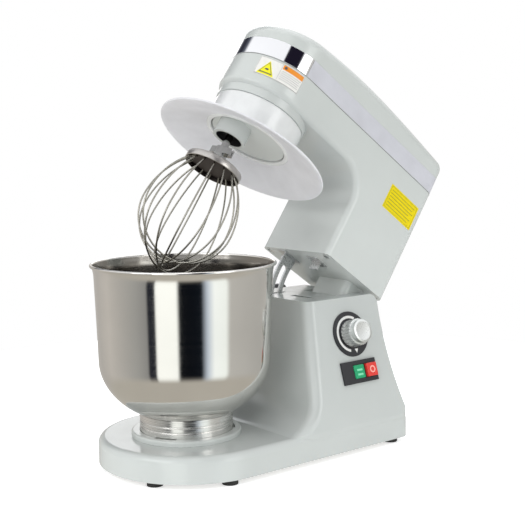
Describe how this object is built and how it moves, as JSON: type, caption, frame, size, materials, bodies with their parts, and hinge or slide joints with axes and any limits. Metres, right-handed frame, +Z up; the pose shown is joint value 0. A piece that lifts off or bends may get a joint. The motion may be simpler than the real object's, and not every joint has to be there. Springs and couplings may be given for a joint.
{
  "type": "commercial stand mixer",
  "caption": "Tilt-head planetary kitchen mixer with a steel bowl, balloon whisk, splash guard, speed dial and push switches, shown with its head raised.",
  "frame": {"origin": "on the ground under the middle of the machine's box, head raised", "axes": "+Z up, +X towards the speed dial, +Y towards the rear, the bowl at -Y"},
  "size_m": [0.2394, 0.5317, 0.5586],
  "materials": {
    "body_paint": "glossy",
    "trim_grey": "satin",
    "front_chrome": "mirror polished",
    "collar_white": "glossy",
    "guard_plastic": "translucent, satin",
    "bowl_steel": "polished stainless",
    "wire_steel": "drawn stainless",
    "cap_steel": "turned stainless",
    "shaft_chrome": "polished",
    "zinc_steel": "zinc plated",
    "bush_brass": "machined",
    "black_plastic": "moulded",
    "knob_silver": "silver cap, ribbed skirt",
    "button_green": "moulded",
    "button_red": "moulded",
    "foot_rubber": "matte",
    "belt_rubber": "matte",
    "board_green": "printed circuit board",
    "label_white": "printed film",
    "label_yellow": "printed film"
  },
  "bodies": {
    "base": {"base_casting": "body_paint", "base_bottom_cover": "zinc_steel", "rubber_feet": "foot_rubber", "foot_screws": "zinc_steel", "bowl_seat": "body_paint", "seat_screws": "zinc_steel", "dial_ring": "black_plastic", "speed_control": "black_plastic", "switch_housing": "black_plastic", "control_board": "board_green", "hinge_pin": "zinc_steel", "cable_gland": "black_plastic"},
    "head": {"head_casting": "body_paint", "head_cover": "body_paint", "trim_strip": "trim_grey", "front_plate": "front_chrome", "warning_label": "label_white", "rating_label": "label_yellow", "neck_plate": "body_paint", "head_screws": "zinc_steel", "hinge_lug": "body_paint", "hinge_bushes": "bush_brass", "tilt_stay": "zinc_steel", "stay_screws": "zinc_steel", "head_catch": "zinc_steel", "guard_collar": "collar_white", "splash_guard": "guard_plastic", "ring_gear": "zinc_steel", "carrier_bearings": "zinc_steel", "gear_bridge": "zinc_steel", "idler_bearings": "zinc_steel", "motor_housing": "zinc_steel", "motor_bearings": "zinc_steel", "motor_stator": "zinc_steel", "drive_belt": "belt_rubber"},
    "carrier": {"planet_carrier": "body_paint", "planet_bush": "bush_brass", "main_shaft": "zinc_steel", "main_gear": "zinc_steel"},
    "planet": {"planet_gear": "zinc_steel", "whisk_shaft": "shaft_chrome", "drive_pin": "shaft_chrome", "whisk_hub": "shaft_chrome", "whisk_cap": "cap_steel", "whisk_plate": "wire_steel", "whisk_wires": "wire_steel"},
    "idler": {"idler_shaft": "zinc_steel", "idler_pinion": "zinc_steel", "idler_pulley": "zinc_steel"},
    "motor": {"motor_rotor": "zinc_steel", "motor_pulley": "zinc_steel", "cooling_fan": "black_plastic"},
    "speed_knob": {"speed_knob": "knob_silver", "knob_spindle": "shaft_chrome"},
    "start_button": {"start_button": "button_green"},
    "stop_button": {"stop_button": "button_red"},
    "lock_lever": {"lock_lever": "black_plastic", "lock_bolt": "zinc_steel"},
    "bowl": {"mixing_bowl": "bowl_steel", "bowl_foot_ring": "bowl_steel"}
  },
  "joints": [
    {"name": "head_tilt", "type": "hinge", "parent": "base", "child": "head", "pos_m": [0, 0.1137, 0.1785], "axis": [1, 0, 0], "range_deg": [0, 34.9]},
    {"name": "planetary_spin", "type": "hinge", "parent": "head", "child": "carrier", "pos_m": [0, -0.03739, 0.41985], "axis": [0, 0.5721, 0.8202], "continuous": true},
    {"name": "whisk_spin", "type": "hinge", "parent": "carrier", "child": "planet", "pos_m": [0.00572, -0.06154, 0.4367], "axis": [0, 0.5721, 0.8202], "continuous": true},
    {"name": "idler_spin", "type": "hinge", "parent": "head", "child": "idler", "pos_m": [0, 0.03797, 0.42824], "axis": [0, 0.5721, 0.8202], "continuous": true},
    {"name": "motor_spin", "type": "hinge", "parent": "head", "child": "motor", "pos_m": [0, 0.16427, 0.34013], "axis": [0, 0.5721, 0.8202], "continuous": true},
    {"name": "speed_knob_turn", "type": "hinge", "parent": "base", "child": "speed_knob", "pos_m": [0.08287, 0.0622, 0.1521], "axis": [0.9513, 0, 0.3084], "range_deg": [0, 270]},
    {"name": "start_button_press", "type": "slide", "parent": "base", "child": "start_button", "axis": [-0.9513, 0, -0.3084], "range_m": [0, 0.0025], "stiffness_N_per_m": 400},
    {"name": "stop_button_press", "type": "slide", "parent": "base", "child": "stop_button", "axis": [-0.9513, 0, -0.3084], "range_m": [0, 0.0035], "stiffness_N_per_m": 400},
    {"name": "lock_lever_turn", "type": "hinge", "parent": "base", "child": "lock_lever", "pos_m": [-0.08, 0.02375, 0.18164], "axis": [1, 0, 0], "range_deg": [0, 60]},
    {"name": "bowl_turn", "type": "hinge", "parent": "base", "child": "bowl", "pos_m": [0, -0.1483, 0.0462], "axis": [0, 0, 1], "range_deg": [0, 30]}
  ],
  "couplings": [
    {"joint": "whisk_spin", "follows": "planetary_spin", "ratio": -3},
    {"joint": "idler_spin", "follows": "planetary_spin", "ratio": -3.75},
    {"joint": "motor_spin", "follows": "planetary_spin", "ratio": -15.625}
  ]
}
